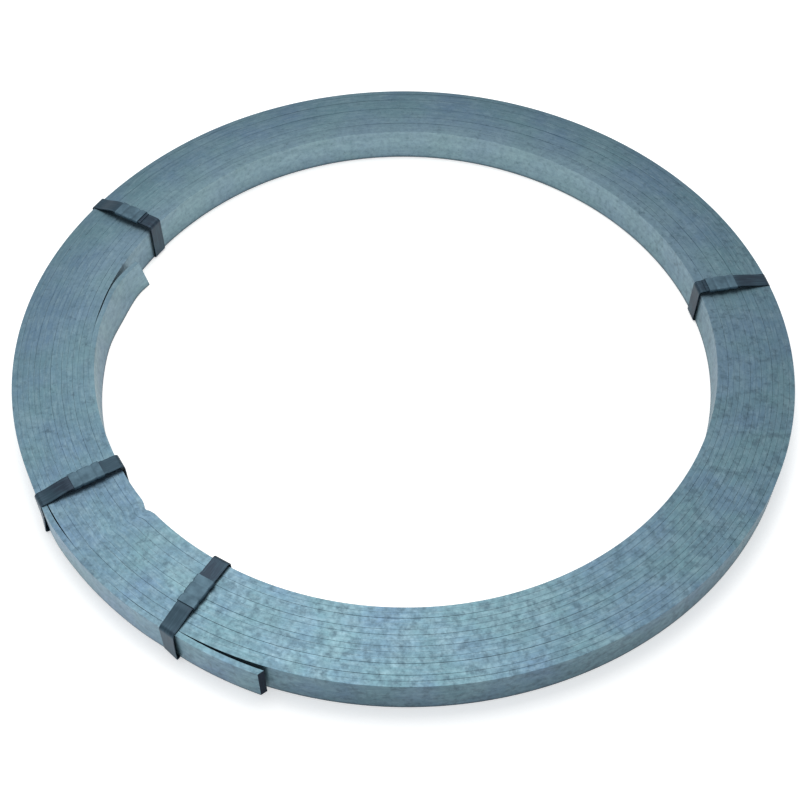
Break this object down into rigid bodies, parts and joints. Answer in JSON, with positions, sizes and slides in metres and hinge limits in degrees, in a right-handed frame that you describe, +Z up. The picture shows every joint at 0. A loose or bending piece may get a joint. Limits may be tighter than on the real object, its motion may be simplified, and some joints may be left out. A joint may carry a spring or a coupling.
{
  "type": "coil of galvanized steel strip",
  "caption": "Flat coil of hot-dip galvanized steel strip wound on edge, lying on its end and tied by dark steel straps with crimped seals; used as earthing or banding stock.",
  "frame": {"origin": "on the coil's axis, on the floor that the straps' undersides rest on", "axes": "+Z up along the coil's axis; +X towards the single strap on the right in the picture; the picture was taken from -Y"},
  "size_m": [0.6203, 0.6204, 0.0324],
  "materials": {
    "galvanized_strip": "hot-dip zinc, matt and mottled, with rounded rolled edges",
    "strap": "blued and waxed steel band",
    "seal": "plain zinc-plated sheet, crimped"
  },
  "bodies": {
    "root": {"strip_coil": "galvanized_strip", "strap_right": "strap", "strap_back_left": "strap", "strap_left": "strap", "strap_front_left": "strap", "seal_right": "seal", "seal_back_left": "seal", "seal_left": "seal", "seal_front_left": "seal"}
  },
  "joints": []
}
